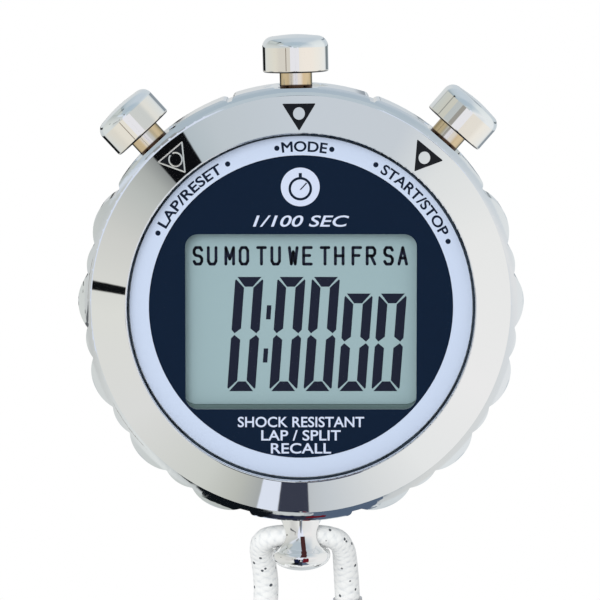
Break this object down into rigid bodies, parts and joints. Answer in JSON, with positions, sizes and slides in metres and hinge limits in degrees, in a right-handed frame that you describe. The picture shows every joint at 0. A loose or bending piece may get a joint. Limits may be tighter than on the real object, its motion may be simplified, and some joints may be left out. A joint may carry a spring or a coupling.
{
  "type": "digital stopwatch",
  "caption": "Hand-held digital stopwatch: scalloped round case, conical bezel, flat display, push buttons at the top and a neck cord on a flared post.",
  "frame": {"origin": "centre of the back cover's outer face, on the case axis", "axes": "+Z out through the display, +Y to the button at twelve o'clock, +X to three o'clock"},
  "size_m": [0.063, 0.1436, 0.0176],
  "materials": {
    "case_chrome": "mirror-polished chrome plate",
    "bezel_chrome": "mirror-polished chrome plate",
    "cap_chrome": "mirror-polished chrome plate",
    "stem_brass": "polished brass",
    "black_enamel": "black enamel fill",
    "clear_crystal": "clear flat crystal",
    "black_rubber": "black nitrile rubber",
    "ring_print": "pale blue-grey satin paint",
    "dial_navy": "dark navy print",
    "lcd_glass": "display glass",
    "lcd_silver": "grey-green reflector foil",
    "grey_cushion": "grey foam rubber",
    "contact_rubber": "striped silicone",
    "module_plastic": "black moulded plastic",
    "board_laminate": "green glass-fibre laminate",
    "screw_steel": "bright steel",
    "chip_resin": "black resin",
    "can_nickel": "nickel-plated can",
    "board_part_body": "ceramic bodies",
    "contact_bronze": "spring brass",
    "cell_steel": "nickel-plated steel",
    "strap_steel": "stainless strip",
    "ceramic_white": "silvered ceramic",
    "spring_steel": "spring wire",
    "clip_steel": "phosphated steel",
    "back_steel": "turned stainless steel",
    "cord_braid": "white braided nylon",
    "tie_plastic": "black hook-and-loop tie",
    "sleeve_nickel": "nickel-plated ferrule"
  },
  "bodies": {
    "case": {"mid_case": "case_chrome", "front_bezel": "bezel_chrome", "bezel_markers": "black_enamel", "crystal": "clear_crystal", "crystal_gasket": "black_rubber", "dial_ring": "ring_print", "dial_plate": "dial_navy", "lcd_front_glass": "lcd_glass", "lcd_rear_glass": "lcd_glass", "lcd_reflector": "lcd_silver", "lcd_cushion": "grey_cushion", "contact_strips": "contact_rubber", "module_frame": "module_plastic", "circuit_board": "board_laminate", "board_screws": "screw_steel", "timing_chip": "chip_resin", "oscillator": "can_nickel", "board_parts": "board_part_body", "switch_contacts": "contact_bronze", "battery": "cell_steel", "battery_contact": "contact_bronze", "battery_strap": "strap_steel", "buzzer_plate": "contact_bronze", "buzzer_ceramic": "ceramic_white", "buzzer_springs": "spring_steel", "back_cover": "back_steel", "case_screws": "screw_steel", "back_gasket": "black_rubber", "cord_post": "case_chrome", "cord_left": "cord_braid", "cord_right": "cord_braid", "cord_coil": "cord_braid", "cord_tie": "tie_plastic", "cord_sleeve": "sleeve_nickel", "lap_reset_spring": "spring_steel", "mode_spring": "spring_steel", "start_stop_spring": "spring_steel"},
    "lap_reset_button": {"lap_reset_cap": "cap_chrome", "lap_reset_stem": "stem_brass", "lap_reset_seal": "black_rubber", "lap_reset_clip": "clip_steel"},
    "mode_button": {"mode_cap": "cap_chrome", "mode_stem": "stem_brass", "mode_seal": "black_rubber", "mode_clip": "clip_steel"},
    "start_stop_button": {"start_stop_cap": "cap_chrome", "start_stop_stem": "stem_brass", "start_stop_seal": "black_rubber", "start_stop_clip": "clip_steel"}
  },
  "joints": [
    {"name": "lap_reset_press", "type": "slide", "parent": "case", "child": "lap_reset_button", "axis": [0.6794, -0.7337, 0], "range_m": [0, 0.0015], "stiffness_N_per_m": 1500, "springref_m": -0.0004, "deforming": ["lap_reset_spring"]},
    {"name": "mode_press", "type": "slide", "parent": "case", "child": "mode_button", "axis": [0.0227, -0.9997, 0], "range_m": [0, 0.0015], "stiffness_N_per_m": 1500, "springref_m": -0.0004, "deforming": ["mode_spring"]},
    {"name": "start_stop_press", "type": "slide", "parent": "case", "child": "start_stop_button", "axis": [-0.6574, -0.7536, 0], "range_m": [0, 0.0015], "stiffness_N_per_m": 1500, "springref_m": -0.0004, "deforming": ["start_stop_spring"]}
  ]
}
